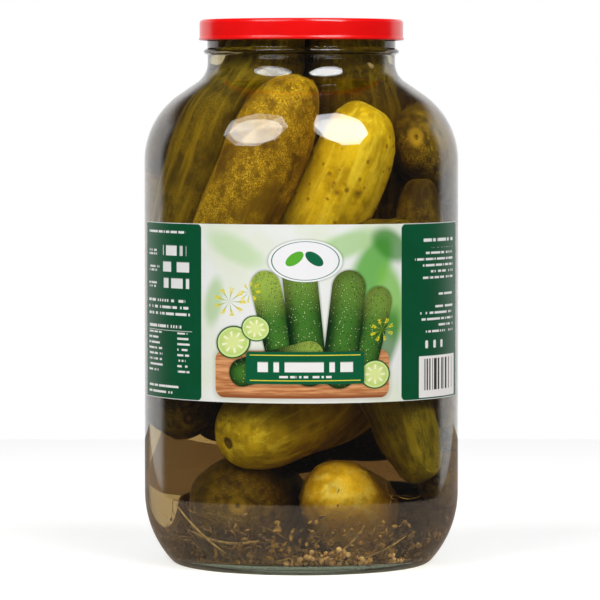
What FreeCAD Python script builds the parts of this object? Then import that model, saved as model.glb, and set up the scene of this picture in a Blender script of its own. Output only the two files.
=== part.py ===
import FreeCAD, Part
import math
import os
import Sketcher

# Pickle jar, modelled in millimetres. The origin is the middle of the base on the surface it stands on,
# +Z is up and the front label faces -Y.

doc = FreeCAD.newDocument("pickle_jar")

# ---------------------------------------------------------------- driving dimensions
DIMENSIONS = [
    # the blown glass jar, outside
    ("body_radius", 80.25),
    ("body_wall", 3.5),
    ("heel_height", 37.0),
    ("heel_radius", 52.0),
    ("heel_turn", 42.0),
    ("bearing_width", 4.5),
    ("pushup_height", 7.0),
    ("shoulder_base", 206.0),
    ("shoulder_radius", 41.4),
    ("shoulder_turn", 55.6),
    ("neck_blend", 11.7),
    ("neck_radius", 47.9),
    ("bead_base", 259.6),
    ("bead_height", 4.4),
    ("bead_depth", 2.0),
    ("bead_crest", 1.3),
    ("finish_step", 0.2),
    ("rim_height", 276.6),
    ("rim_round", 1.4),
    # inside of the base
    ("inner_heel_radius", 40.0),
    ("inner_heel_turn", 49.7),
    ("floor_middle", 12.5),
    # the glass thread ramps that hold the cap
    ("ramp_count", 6),
    ("ramp_span", 38.0),
    ("ramp_height", 269.4),
    ("ramp_tall", 2.4),
    ("ramp_depth", 2.9),
    ("ramp_low_depth", 2.3),
    ("ramp_nose_rise", 0.7),
    ("ramp_nose_tall", 0.7),
    ("ramp_high_depth", 1.2),
    # the steel cap
    ("cap_radius", 52.0),
    ("cap_wall", 0.35),
    ("cap_base", 267.4),
    ("cap_top", 278.1),
    ("cap_corner", 2.0),
    ("curl_out", 0.36),
    ("curl_in", 0.27),
    ("curl_lap", 0.09),
    ("curl_low", 0.54),
    ("curl_high", 1.26),
    ("curl_end", 2.0),
    ("panel_radius", 43.0),
    ("panel_drop", 0.8),
    ("panel_step", 2.0),
    ("lug_span", 9.0),
    ("lug_depth", 1.2),
    ("lug_tall", 1.3),
    ("lug_tip_tall", 1.0),
    # the paper label
    ("label_base", 87.3),
    ("label_height", 88.4),
    ("label_span", 153.0),
    ("label_paper", 0.15),
    # the brine
    ("brine_level", 268.0),
]

NAMES = {word for word, value in DIMENSIONS}

sizes = doc.addObject("Spreadsheet::Sheet", "sizes")
for row, (word, value) in enumerate(DIMENSIONS, start=1):
    sizes.set(f"A{row}", word)
    sizes.set(f"B{row}", str(value))
    sizes.setAlias(f"B{row}", word)
doc.recompute()


def bound(expression):
    """The expression with each dimension's name turned into a reference to its cell."""
    words = []
    word = ""
    for letter in expression + " ":
        if letter.isalpha() or letter == "_":
            word += letter
            continue
        if word:
            words.append(f"sizes.{word}" if word in NAMES else word)
            word = ""
        words.append(letter)
    return "".join(words).strip()


def number(expression):
    """The value that an expression on the dimensions has now, in millimetres."""
    value = sizes.evalExpression(bound(expression))
    return float(getattr(value, "Value", value))


def origin_item(body, role):
    """The body's own origin plane or axis that has this role."""
    return next(item for item in body.Origin.OriginFeatures if item.Role == role)


def outline(body, name, corners, plane="XZ_Plane"):
    """A closed outline on one of the body's upright planes, for turning about Z.

    Each corner is (across, up, bend), the first two being expressions on the dimensions. bend is None
    where a straight run leads to the next corner, or (radius, side) for an arc: side is +1 where the
    arc turns to the left on the way to the next corner and -1 where it turns to the right.
    """
    sketch = body.newObject("Sketcher::SketchObject", name)
    sketch.AttachmentSupport = [(origin_item(body, plane), "")]
    sketch.MapMode = "FlatFace"
    places = [FreeCAD.Vector(number(across), number(up), 0) for across, up, bend in corners]
    starts, ends = [], []
    for index, (across, up, bend) in enumerate(corners):
        here = places[index]
        there = places[(index + 1) % len(places)]
        if bend is None:
            edge = sketch.addGeometry(Part.LineSegment(here, there), False)
            starts.append((edge, 1))
            ends.append((edge, 2))
            continue
        radius, side = number(bend[0]), bend[1]
        chord = there - here
        inward = FreeCAD.Vector(-chord.y, chord.x, 0).normalize() * side
        reach = math.sqrt(radius ** 2 - (chord.Length / 2) ** 2)
        centre = (here + there) * 0.5 + inward * reach
        first, last = (here, there) if side > 0 else (there, here)
        turns = [math.atan2(end.y - centre.y, end.x - centre.x) for end in (first, last)]
        circle = Part.Circle(centre, FreeCAD.Vector(0, 0, 1), radius)
        edge = sketch.addGeometry(Part.ArcOfCircle(circle, turns[0], turns[1]), False)
        starts.append((edge, 1 if side > 0 else 2))
        ends.append((edge, 2 if side > 0 else 1))
        tie = sketch.addConstraint(Sketcher.Constraint("Radius", edge, radius))
        sketch.setExpression(f"Constraints[{tie}]", bound(bend[0]))
    for index, (across, up, bend) in enumerate(corners):
        edge, end = starts[index]
        before = ends[index - 1]
        sketch.addConstraint(Sketcher.Constraint("Coincident", before[0], before[1], edge, end))
        for kind, line, expression in (("DistanceX", -2, across), ("DistanceY", -1, up)):
            if expression == "0":
                sketch.addConstraint(Sketcher.Constraint("PointOnObject", edge, end, line))
                continue
            tie = sketch.addConstraint(Sketcher.Constraint(kind, -1, 1, edge, end, number(expression)))
            sketch.setExpression(f"Constraints[{tie}]", bound(expression))
    return sketch


def turned(body, name, sketch, span=None):
    """The sketch turned about Z, all the way round or evenly to both sides over a named span."""
    feature = body.newObject("PartDesign::Revolution", name)
    feature.Profile = sketch
    feature.ReferenceAxis = (origin_item(body, "Z_Axis"), [""])
    feature.Angle = 360
    if span:
        feature.Midplane = True
        feature.setExpression("Angle", bound(span))
    return feature


def round_about(body, name, feature, count):
    """The feature repeated evenly round Z."""
    pattern = body.newObject("PartDesign::PolarPattern", name)
    pattern.Originals = [feature]
    pattern.Axis = (origin_item(body, "Z_Axis"), [""])
    pattern.Angle = 360
    pattern.setExpression("Occurrences", bound(count))
    body.Tip = pattern
    return pattern


# ---------------------------------------------------------------- shared lines of the glass
# The shoulder arc leaves the body upright and turns by shoulder_turn. A straight slope follows, and an
# arc the other way brings the wall upright again at the neck. The inner wall runs parallel to it.
SLOPE = ("((shoulder_radius + neck_blend) * cos(shoulder_turn)"
         " - (neck_radius + neck_blend - body_radius + shoulder_radius)) / sin(shoulder_turn)")
NECK_BASE = (f"shoulder_base + (shoulder_radius + neck_blend) * sin(shoulder_turn)"
             f" + {SLOPE} * cos(shoulder_turn)")
FOOT = "((heel_height - heel_radius * sin(heel_turn)) / (1 - sin(heel_turn)))"


def shoulder_corners(inset, upward):
    """Corners of the wall from body to neck, inset from the outside; upward tells the way it is drawn."""
    side = 1 if upward else -1
    wide, tight = f"shoulder_radius - {inset}", f"neck_blend + {inset}"
    low = (f"body_radius - {inset}", "shoulder_base")
    crest = (f"body_radius - shoulder_radius + ({wide}) * cos(shoulder_turn)",
             f"shoulder_base + ({wide}) * sin(shoulder_turn)")
    dip = (f"neck_radius + neck_blend - ({tight}) * cos(shoulder_turn)",
           f"{NECK_BASE} - ({tight}) * sin(shoulder_turn)")
    high = (f"neck_radius - {inset}", NECK_BASE)
    if upward:
        return [(*low, (wide, side)), (*crest, None), (*dip, (tight, -side)), (*high, None)]
    return [(*high, (tight, -side)), (*dip, None), (*crest, (wide, side)), (*low, None)]


INNER_HEEL = ("body_radius - body_wall - inner_heel_radius + inner_heel_radius * cos(inner_heel_turn)",
              "heel_height - inner_heel_radius * sin(inner_heel_turn)")
FLOOR_RISE = f"(floor_middle - ({INNER_HEEL[1]}))"
FLOOR_BEND = f"((({INNER_HEEL[0]}) ^ 2 + {FLOOR_RISE} ^ 2) / (2 * {FLOOR_RISE}))"
BEARING_OUT = f"body_radius - heel_radius + (heel_radius - {FOOT}) * cos(heel_turn)"
BEARING_IN = f"{BEARING_OUT} - bearing_width"
PUSHUP_BEND = f"((({BEARING_IN}) ^ 2 + pushup_height ^ 2) / (2 * pushup_height))"


# ---------------------------------------------------------------- jar
def make_jar():
    """Blown glass: a pushed-up base on a flat bearing ring, a round heel, a straight body, a shoulder,
    a neck with a transfer bead, and ramps under the cap that its lugs hook on."""
    body = doc.addObject("PartDesign::Body", "jar")
    body.Label = "jar"
    heel = ("body_radius - heel_radius + heel_radius * cos(heel_turn)",
            "heel_height - heel_radius * sin(heel_turn)")
    corners = [
        ("0", "pushup_height", (PUSHUP_BEND, -1)),
        (BEARING_IN, "0", None),
        (BEARING_OUT, "0", (FOOT, 1)),
        (*heel, ("heel_radius", 1)),
        ("body_radius", "heel_height", None),
    ]
    corners += shoulder_corners("0", upward=True)
    corners += [
        ("neck_radius", "bead_base", None),
        ("neck_radius + bead_depth", "bead_base + (bead_height - bead_crest) / 2", None),
        ("neck_radius + bead_depth", "bead_base + (bead_height + bead_crest) / 2", None),
        ("neck_radius + finish_step", "bead_base + bead_height", None),
        ("neck_radius + finish_step", "rim_height - rim_round", ("rim_round", 1)),
        ("neck_radius + finish_step - rim_round", "rim_height", None),
        ("neck_radius - body_wall + rim_round", "rim_height", ("rim_round", 1)),
        ("neck_radius - body_wall", "rim_height - rim_round", None),
    ]
    corners += shoulder_corners("body_wall", upward=False)
    corners += [
        ("body_radius - body_wall", "heel_height", ("inner_heel_radius", -1)),
        (*INNER_HEEL, (FLOOR_BEND, 1)),
        ("0", "floor_middle", None),
    ]
    turned(body, "glass_wall", outline(body, "glass_outline", corners))
    doc.recompute()
    ramp = outline(body, "ramp_outline", [
        ("neck_radius - body_wall / 2", "ramp_height", None),
        ("neck_radius + ramp_low_depth", "ramp_height", None),
        ("neck_radius + ramp_depth", "ramp_height + ramp_nose_rise", None),
        ("neck_radius + ramp_depth", "ramp_height + ramp_nose_rise + ramp_nose_tall", None),
        ("neck_radius + ramp_high_depth", "ramp_height + ramp_tall", None),
        ("neck_radius - body_wall / 2", "ramp_height + ramp_tall", None),
    ])
    first = turned(body, "thread_ramp", ramp, "ramp_span")
    doc.recompute()
    round_about(body, "thread_ramps", first, "ramp_count")
    return body


# ---------------------------------------------------------------- lid
def make_lid():
    """Pressed steel twist-off cap: a stepped panel, a short skirt with a curled edge, and lugs turned
    in under the ramps of the glass."""
    body = doc.addObject("PartDesign::Body", "lid")
    body.Label = "lid"
    inner = "(cap_radius - cap_wall)"
    corners = [
        ("0", "cap_top - panel_drop", None),
        ("0", "cap_top - panel_drop - cap_wall", None),
        ("panel_radius + cap_wall", "cap_top - panel_drop - cap_wall", None),
        ("panel_radius + panel_step + cap_wall", "cap_top - cap_wall", None),
        ("cap_radius - cap_corner", "cap_top - cap_wall", ("cap_corner - cap_wall", -1)),
        (inner, "cap_top - cap_corner", None),
        (inner, "cap_base + curl_end", None),
        (f"{inner} - curl_in", "cap_base + curl_high", None),
        (f"{inner} - curl_in", "cap_base + curl_low", None),
        (f"{inner} + curl_lap", "cap_base", None),
        ("cap_radius", "cap_base", None),
        ("cap_radius + curl_out", "cap_base + curl_low", None),
        ("cap_radius + curl_out", "cap_base + curl_high", None),
        ("cap_radius", "cap_base + curl_end", None),
        ("cap_radius", "cap_top - cap_corner", ("cap_corner", 1)),
        ("cap_radius - cap_corner", "cap_top", None),
        ("panel_radius + panel_step", "cap_top", None),
        ("panel_radius", "cap_top - panel_drop", None),
    ]
    turned(body, "pressed_shell", outline(body, "shell_outline", corners))
    doc.recompute()
    lug = outline(body, "lug_outline", [
        (f"{inner} - lug_depth", "cap_base", None),
        (f"{inner} + curl_lap", "cap_base", None),
        (f"{inner} + curl_lap", "cap_base + lug_tall", None),
        (f"{inner} - lug_depth", "cap_base + lug_tip_tall", None),
    ])
    first = turned(body, "lug", lug, "lug_span")
    doc.recompute()
    round_about(body, "lugs", first, "ramp_count")
    return body


# ---------------------------------------------------------------- label
def make_label():
    """One paper label, glued round the front of the straight body."""
    body = doc.addObject("PartDesign::Body", "label")
    body.Label = "label"
    edge = outline(body, "paper_edge", [
        ("-body_radius - label_paper", "label_base", None),
        ("-body_radius", "label_base", None),
        ("-body_radius", "label_base + label_height", None),
        ("-body_radius - label_paper", "label_base + label_height", None),
    ], plane="YZ_Plane")
    turned(body, "paper", edge, "label_span")
    return body


# ---------------------------------------------------------------- brine
def make_brine():
    """The brine with all that is sunk in it: it fills the glass up to its level."""
    body = doc.addObject("PartDesign::Body", "brine")
    body.Label = "brine"
    corners = [
        ("0", "floor_middle", (FLOOR_BEND, -1)),
        (*INNER_HEEL, ("inner_heel_radius", 1)),
        ("body_radius - body_wall", "heel_height", None),
    ]
    corners += shoulder_corners("body_wall", upward=True)
    corners += [
        ("neck_radius - body_wall", "brine_level", None),
        ("0", "brine_level", None),
    ]
    turned(body, "fill", outline(body, "fill_outline", corners))
    return body


sub_parts = [make_jar(), make_lid(), make_label(), make_brine()]
doc.recompute()

# ---------------------------------------------------------------- checks and files
for item in doc.Objects:
    if "Invalid" in item.State or "Error" in item.State:
        raise RuntimeError(f"{item.Name} did not build: {item.State}")
for body in sub_parts:
    if body.Shape.isNull() or not body.Shape.isValid() or len(body.Shape.Solids) != 1:
        raise RuntimeError(f"{body.Label} is not one valid solid")

os.makedirs("parts", exist_ok=True)
for body in sub_parts:
    body.Shape.exportStep(f"parts/{body.Label}.step")
    box = body.Shape.optimalBoundingBox()
    print(f"{body.Label}: {body.Shape.Volume / 1000:.1f} ml, z {box.ZMin:.2f} to {box.ZMax:.2f}, "
          f"across {box.XLength:.2f} by {box.YLength:.2f}")
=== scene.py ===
import math

import bpy
import mathutils
import numpy as np
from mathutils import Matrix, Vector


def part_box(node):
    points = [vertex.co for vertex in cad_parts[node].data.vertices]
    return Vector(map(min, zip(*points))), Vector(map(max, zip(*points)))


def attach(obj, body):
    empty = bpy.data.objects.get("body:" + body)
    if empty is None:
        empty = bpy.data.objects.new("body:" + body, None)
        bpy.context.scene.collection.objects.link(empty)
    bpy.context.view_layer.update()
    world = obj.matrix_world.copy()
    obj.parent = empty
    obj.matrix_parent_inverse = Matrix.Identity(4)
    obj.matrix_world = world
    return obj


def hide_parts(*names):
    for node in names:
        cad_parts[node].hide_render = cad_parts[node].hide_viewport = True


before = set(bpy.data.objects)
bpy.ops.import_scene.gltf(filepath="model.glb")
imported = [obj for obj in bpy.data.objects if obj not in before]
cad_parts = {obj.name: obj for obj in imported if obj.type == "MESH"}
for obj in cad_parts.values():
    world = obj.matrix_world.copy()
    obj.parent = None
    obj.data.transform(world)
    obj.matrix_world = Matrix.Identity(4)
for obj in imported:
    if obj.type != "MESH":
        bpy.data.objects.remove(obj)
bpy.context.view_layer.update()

# ---------------------------------------------------------------- glass jar
# One piece of blown soda-lime glass, clear with a faint green cast in its thick base. It is blown in a
# two-part mould, stands on a flat bearing ring round a pushed-up base and ends in a neck with a bead.

body_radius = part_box("jar")[1].x
jar_wall = body_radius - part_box("brine")[1].x
rim_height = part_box("jar")[1].z
heel_height, heel_radius, heel_turn = 0.037, 0.052, 42.0
shoulder_base, shoulder_radius, shoulder_turn = 0.206, 0.0414, 55.6
neck_radius, neck_blend = 0.0479, 0.0117
bearing_width, pushup_height = 0.0045, 0.007
inner_heel_radius, inner_heel_turn, floor_middle = 0.040, 49.7, 0.0125
bead_base, bead_height, bead_depth = 0.2596, 0.0044, 0.0020


def arc(centre, radius, start, stop, steps):
    """Points of a circle in the (r, z) half plane: the centre plus the radius times (cos, sin) of an angle
    that runs in even steps from start to stop, in degrees."""
    turn = np.radians(np.linspace(start, stop, steps))
    return np.column_stack([centre[0] + radius * np.cos(turn), centre[1] + radius * np.sin(turn)])


def dome(edge_r, edge_z, middle_z, steps):
    """Points of a shallow arc from the edge to the axis: the height rises from edge_z to middle_z as one
    less the square of r over edge_r."""
    r = np.linspace(edge_r, 0.0, steps)
    return np.column_stack([r, edge_z + (middle_z - edge_z) * (1 - (r / edge_r) ** 2)])


def neck_arcs(inset):
    """The wall from the top of the straight body to the neck, inset from the outside: an arc that leans in
    by shoulder_turn, a straight slope tangent to it, and an arc the other way that stands upright again."""
    lean = math.radians(shoulder_turn)
    crest = (body_radius - shoulder_radius, shoulder_base)
    across = neck_radius + neck_blend - crest[0]
    both = shoulder_radius + neck_blend
    slope = (both * math.cos(lean) - across) / math.sin(lean)
    dip = (neck_radius + neck_blend, shoulder_base + both * math.sin(lean) + slope * math.cos(lean))
    return np.vstack([
        arc(crest, shoulder_radius - inset, 0, shoulder_turn, 40),
        arc(dip, neck_blend + inset, 180 + shoulder_turn, 180, 24),
    ])


def inner_wall(inset):
    """The inside of the glass from the middle of its floor to the neck, inset from the outside."""
    start = (body_radius - inset - inner_heel_radius, heel_height)
    heel = arc(start, inner_heel_radius, -inner_heel_turn, 0, 32)
    floor = dome(heel[0, 0], heel[0, 1], floor_middle - jar_wall + inset, 24)[::-1]
    return np.vstack([floor[:-1], heel, neck_arcs(inset)])


facets = 288


def lathe(name, profile, around=facets):
    """A surface of revolution about Z: the profile point (r, z) becomes the ring (r cos a, r sin a, z) for a
    running round in even steps. A profile end on the axis closes in a fan, and the mesh faces outwards."""
    turn = np.linspace(0, 2 * math.pi, around, endpoint=False)
    rings = profile[profile[:, 0] > 1e-7]
    grid = np.stack([
        rings[:, 0, None] * np.cos(turn),
        rings[:, 0, None] * np.sin(turn),
        np.repeat(rings[:, 1, None], around, axis=1),
    ], axis=-1)
    caps = [tuple(profile[0]) if profile[0, 0] <= 1e-7 else None,
            tuple(profile[-1]) if profile[-1, 0] <= 1e-7 else None]
    poles = [None if cap is None else (0.0, 0.0, cap[1]) for cap in caps]
    return skin_of(name, grid, poles)


def skin_of(name, grid, poles=(None, None)):
    """A mesh over a grid of points, rows by columns, whose columns join up in a loop. A pole closes the
    first or the last row in a fan, and with no poles the last row joins the first. Faces point outwards."""
    rows, columns = grid.shape[:2]
    points = grid.reshape(-1, 3)
    index = np.arange(rows * columns).reshape(rows, columns)
    looped = all(pole is None for pole in poles)
    lower = index if looped else index[:-1]
    upper = np.roll(index, -1, axis=0) if looped else index[1:]
    quads = np.stack([lower, np.roll(lower, -1, axis=1), np.roll(upper, -1, axis=1), upper], axis=-1)
    faces = quads.reshape(-1, 4).tolist()
    for pole, row, order in ((poles[0], index[0], -1), (poles[1], index[-1], 1)):
        if pole is not None:
            tip = len(points)
            points = np.vstack([points, [pole]])
            ahead = np.roll(row, -1)
            ring = np.column_stack([row, ahead] if order > 0 else [ahead, row])
            faces += [(int(first), int(second), tip) for first, second in ring]
    mesh = bpy.data.meshes.new(name)
    mesh.from_pydata(points.tolist(), [], faces)
    corners = points[quads.reshape(-1, 4)]
    middle = corners.mean(axis=1)
    facing = np.cross(corners[:, 2] - corners[:, 0], corners[:, 3] - corners[:, 1])
    if (middle * facing).sum() < 0:
        mesh.flip_normals()
    mesh.shade_smooth()
    mesh.update()
    piece = bpy.data.objects.new(name, mesh)
    bpy.context.scene.collection.objects.link(piece)
    return piece


class Wire:
    """A node's output used as a number: + - * / and ** on it add Math nodes to its tree."""

    def __init__(self, finish, socket):
        self.finish, self.socket = finish, socket

    def math(self, operation, *values):
        return self.finish.add("ShaderNodeMath", {"operation": operation}, dict(enumerate(values)))

    def __add__(self, other):
        return self.math("ADD", self, other)

    def __radd__(self, other):
        return self.math("ADD", other, self)

    def __sub__(self, other):
        return self.math("SUBTRACT", self, other)

    def __rsub__(self, other):
        return self.math("SUBTRACT", other, self)

    def __mul__(self, other):
        return self.math("MULTIPLY", self, other)

    def __rmul__(self, other):
        return self.math("MULTIPLY", other, self)

    def __truediv__(self, other):
        return self.math("DIVIDE", self, other)

    def __rtruediv__(self, other):
        return self.math("DIVIDE", other, self)

    def __pow__(self, other):
        return self.math("POWER", self, other)

    def size(self):
        return self.math("ABSOLUTE", self)

    def floor(self):
        return self.math("FLOOR", self)

    def wave(self):
        return self.math("COSINE", self)

    def least(self, other):
        return self.math("MINIMUM", self, other)

    def most(self, other):
        return self.math("MAXIMUM", self, other)

    def rise(self, low, high):
        """Zero up to low, one from high, and smooth between them; low above high gives a fall."""
        return self.finish.add("ShaderNodeMapRange", {"interpolation_type": "SMOOTHSTEP"},
                               {"Value": self, "From Min": low, "From Max": high})

    def inside(self, soft=0.12):
        """One where a distance in millimetres is negative, and nought beyond, with a soft edge."""
        return self.rise(soft, -soft)


class Finish:
    """A node material that is built up call by call, or another tree of nodes, such as the world's."""

    def __init__(self, name, tree=None):
        if tree is None:
            self.material = bpy.data.materials.new(name)
            self.material.use_nodes = True
            tree = self.material.node_tree
        self.tree = tree
        self.tree.nodes.clear()

    def add(self, kind, settings=None, inputs=None, output=0):
        """A node of this kind with its settings made first, then its sockets; gives back one output."""
        node = self.tree.nodes.new(kind)
        for key, value in (settings or {}).items():
            setattr(node, key, value)
        for key, value in (inputs or {}).items():
            if isinstance(value, Wire):
                self.tree.links.new(value.socket, node.inputs[key])
            elif node.inputs[key].type == "RGBA" and len(value) == 3:
                node.inputs[key].default_value = (*value, 1)
            else:
                node.inputs[key].default_value = value
        return Wire(self, node.outputs[output])

    def paint(self, share, under, over):
        """The colour over laid on the colour under by a share from 0 to 1."""
        return self.add("ShaderNodeMix", {"data_type": "RGBA", "blend_type": "MIX"},
                        {0: share, 6: under, 7: over}, output=2)

    def noise(self, at, scale, detail=2.0, roughness=0.5):
        """Soft cloudy noise about 0.5, scale cells to the metre."""
        return self.add("ShaderNodeTexNoise", {}, {
            "Vector": at, "Scale": scale, "Detail": detail, "Roughness": roughness})

    def stretched(self, at, scale):
        """A vector with each axis multiplied by its own scale."""
        return self.add("ShaderNodeMapping", {"vector_type": "POINT"}, {"Vector": at, "Scale": scale})

    def bump(self, height, distance, strength=1.0):
        """A normal that follows a height from 0 to 1, which stands for distance in metres."""
        return self.add("ShaderNodeBump", {}, {
            "Height": height, "Distance": distance, "Strength": strength})

    def close(self, surface, volume=None):
        """Sends the surface shader, and a volume if there is one, to the output, and gives the material."""
        inputs = {"Surface": surface}
        if volume is not None:
            inputs["Volume"] = volume
        self.add_output(inputs)
        return self.material

    def add_output(self, inputs, kind="ShaderNodeOutputMaterial"):
        """The tree's output node, with these wires in its sockets."""
        node = self.tree.nodes.new(kind)
        for key, value in inputs.items():
            self.tree.links.new(value.socket, node.inputs[key])


def clear_finish(name, tint, ior, pass_tint, absorbed, density):
    """Clear glass or liquid. It bends what is seen through it and takes off colour with depth, and lamp
    light passes straight through it, tinted once at each surface."""
    finish = Finish(name)
    body = finish.add("ShaderNodeBsdfPrincipled", {}, {
        "Base Color": tint, "Roughness": 0.0, "IOR": ior, "Transmission Weight": 1.0})
    through = finish.add("ShaderNodeBsdfTransparent", {}, {"Color": pass_tint})
    shadow = finish.add("ShaderNodeLightPath", {}, {}, output="Is Shadow Ray")
    mixed = finish.add("ShaderNodeMixShader", {}, {0: shadow, 1: body, 2: through})
    volume = finish.add("ShaderNodeVolumeAbsorption", {}, {"Color": absorbed, "Density": density})
    return finish.close(mixed, volume)


def dress(piece, material, slot, *nodes):
    """Gives the piece its material, hangs it under the root body and hides the CAD nodes it stands for; the
    slot is not used.
    """
    piece.data.materials.append(material)
    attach(piece, "root")
    if nodes:
        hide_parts(*nodes)
    return piece


turn_low = math.radians(heel_turn)
foot_radius = (heel_height - heel_radius * math.sin(turn_low)) / (1 - math.sin(turn_low))
foot_centre = (body_radius - heel_radius + (heel_radius - foot_radius) * math.cos(turn_low), foot_radius)
bearing_in = foot_centre[0] - bearing_width
finish_radius = neck_radius + 0.0002
inner_neck = neck_radius - jar_wall
rim_round = 0.0014
ring_round = 0.0012

jar_outside = np.vstack([
    dome(bearing_in - ring_round, 0.0005, pushup_height, 24)[::-1],
    arc((bearing_in, ring_round), ring_round, -110, -90, 4),
    arc(foot_centre, foot_radius, -90, -heel_turn, 12),
    arc((body_radius - heel_radius, heel_height), heel_radius, -heel_turn, 0, 28)[1:],
    neck_arcs(0.0),
    arc((neck_radius + bead_depth * 0.35, bead_base), bead_depth * 0.35, 180, 100, 5),
    arc((neck_radius + bead_depth * 0.45, bead_base + bead_height * 0.5), bead_depth * 0.55, -60, 60, 9),
    arc((finish_radius + bead_depth * 0.35, bead_base + bead_height), bead_depth * 0.35, 260, 180, 5),
    arc((finish_radius - rim_round, rim_height - rim_round), rim_round, 0, 90, 8),
])
jar_inside = inner_wall(jar_wall)
jar_profile = np.vstack([
    jar_outside,
    arc((inner_neck + rim_round, rim_height - rim_round), rim_round, 90, 180, 8),
    jar_inside[::-1],
])
glass = lathe("glass_jar", jar_profile)
dress(glass, clear_finish("clear_glass", (0.965, 0.98, 0.965), 1.5, (0.96, 0.97, 0.96),
                          (0.52, 0.61, 0.46), 16.0), "clear_glass", "jar")

# ---------------------------------------------------------------- gherkins
# Whole pickled gherkins, 90 to 148 mm long, packed by hand: loose and level at the bottom, upright above.
# Each is slightly bent, a little three-sided, warty, streaked along its length, with a scar at both ends.
# Six short ones of 37 to 83 mm fill gaps. All are placed for looks, and many run deep into each other.


floor_edge = inner_wall(jar_wall)[23, 0]
off_glass = 0.0007


def floor_height(r):
    """The height of the inside of the glass at radius r: the shallow dome of the floor out to its edge, and
    past that the inner heel, whose height is heel_height less the root of its radius squared less the
    square of the way out from its centre."""
    low = heel_height - inner_heel_radius * math.sin(math.radians(inner_heel_turn))
    out = r - (body_radius - jar_wall - inner_heel_radius)
    heel = heel_height - np.sqrt(np.maximum(inner_heel_radius ** 2 - out ** 2, 0))
    return np.where(r < floor_edge, low + (floor_middle - low) * (1 - (r / floor_edge) ** 2), heel)


def kept_inside(points, margin):
    """The points moved in towards the axis where they are nearer to the glass than the margin, and lifted to
    lie above the floor."""
    r = np.hypot(points[..., 0], points[..., 1])
    line = inner_wall(jar_wall)
    limit = np.interp(points[..., 2], line[23:, 1], line[23:, 0]) - margin
    held = points * 1.0
    held[..., :2] *= np.minimum(1, limit / np.maximum(r, 1e-6))[..., None]
    r = np.hypot(held[..., 0], held[..., 1])
    held[..., 2] = np.maximum(held[..., 2], floor_height(r) + margin)
    return held


def gherkin(name, stem, tip, girth, bow, material, seed, blunt, taper, warts, fine):
    """One gherkin from its stem end to its tip. Its spine is a parabola through both ends whose middle is
    moved by bow. At angle f from 0 to pi along it, the place on the spine is (1 - cos f ^ (2 / blunt)) / 2
    and the radius is girth times sin f ^ (2 / blunt), less the taper towards the stem, times a gently
    three-sided outline with low lumps. Warts are small round swellings, and both ends are dimpled. What
    would pass the glass is pressed in."""
    draw = np.random.default_rng(seed)
    stem, tip, bow = (np.array(place, float) / 1000 for place in (stem, tip, bow))
    girth = girth / 1000
    power = 2 / blunt
    rows, around = (176, 144) if fine else (90, 72)
    f = np.linspace(0, math.pi, rows + 2)[1:-1]
    along = (1 - np.sign(np.cos(f)) * np.abs(np.cos(f)) ** power) / 2
    spine = stem + (tip - stem) * along[:, None] + 4 * (along * (1 - along))[:, None] * bow
    ahead = (tip - stem) + 4 * (1 - 2 * along)[:, None] * bow
    ahead /= np.linalg.norm(ahead, axis=1)[:, None]
    side = np.cross(ahead, (0.31, 0.45, 0.12))
    side /= np.linalg.norm(side, axis=1)[:, None]
    up = np.cross(side, ahead)
    length = np.linalg.norm(tip - stem)

    turn = np.linspace(0, 2 * math.pi, around, endpoint=False)
    girths = girth * np.sin(f) ** power * (1 - taper * (1 - along) ** 2)
    phase = draw.uniform(0, 2 * math.pi, 9)
    outline = 1 + 0.030 * np.cos(3 * turn + phase[0] + 0.8 * along[:, None])
    outline += 0.012 * np.cos(5 * turn + phase[1]) + 0.006 * np.cos(9 * turn + phase[2])
    for lump in range(6):
        waves = draw.uniform(0.8, 4.5)
        outline += 0.011 * np.cos((1 + lump % 3) * turn + phase[lump + 3])[None] * np.cos(
            2 * math.pi * waves * along[:, None] + phase[lump])
    radius = girths[:, None] * outline

    wart = np.zeros_like(radius)
    for place, angle, size, height in draw.uniform(0, 1, (warts, 4)):
        span = 0.0009 + 0.0013 * size
        gap = np.angle(np.exp(1j * (turn - 2 * math.pi * angle)))
        near = (gap[None] * girth) ** 2 + ((along[:, None] - 0.06 - 0.88 * place) * length) ** 2
        bell = np.exp(-near / span ** 2)
        wart = np.maximum(wart, bell)
        radius += (0.0002 + 0.0005 * height) * bell

    around_at = np.cos(turn), np.sin(turn)
    grid = spine[:, None] + radius[..., None] * (
        side[:, None] * around_at[0][None, :, None] + up[:, None] * around_at[1][None, :, None])
    dimple = 0.0012
    near_stem = np.exp(-(girths / 0.0035) ** 2) * (along < 0.5)
    near_tip = np.exp(-(girths / 0.0030) ** 2) * (along > 0.5)
    grid += (dimple * (near_stem - near_tip))[:, None, None] * ahead[:, None]
    poles = tuple(kept_inside(np.array([stem + dimple * ahead[0], tip - dimple * ahead[-1]]), off_glass))
    grid = kept_inside(grid, off_glass)
    piece = skin_of(name, grid, poles)

    flat = np.stack([radius * around_at[0], radius * around_at[1],
                     np.repeat(along[:, None] * length, around, axis=1)], axis=-1).reshape(-1, 3)
    flat = np.vstack([flat, [(0, 0, 0)], [(0, 0, length)]]) + (0, 0, draw.uniform(0, 4))
    spread = np.ones(around)
    for word, values, kind in (
            ("skin_at", flat, "FLOAT_VECTOR"),
            ("along", np.append(np.outer(along, spread), (0, 1)), "FLOAT"),
            ("off_axis", np.append(np.outer(girths, spread), (0, 0)), "FLOAT"),
            ("wart", np.append(wart, (0, 0)), "FLOAT")):
        layer = piece.data.attributes.new(word, kind, "POINT")
        layer.data.foreach_set("vector" if kind == "FLOAT_VECTOR" else "value",
                               np.ascontiguousarray(values, dtype=np.float32).ravel())
    return dress(piece, material, "pickle_skin")


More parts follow.
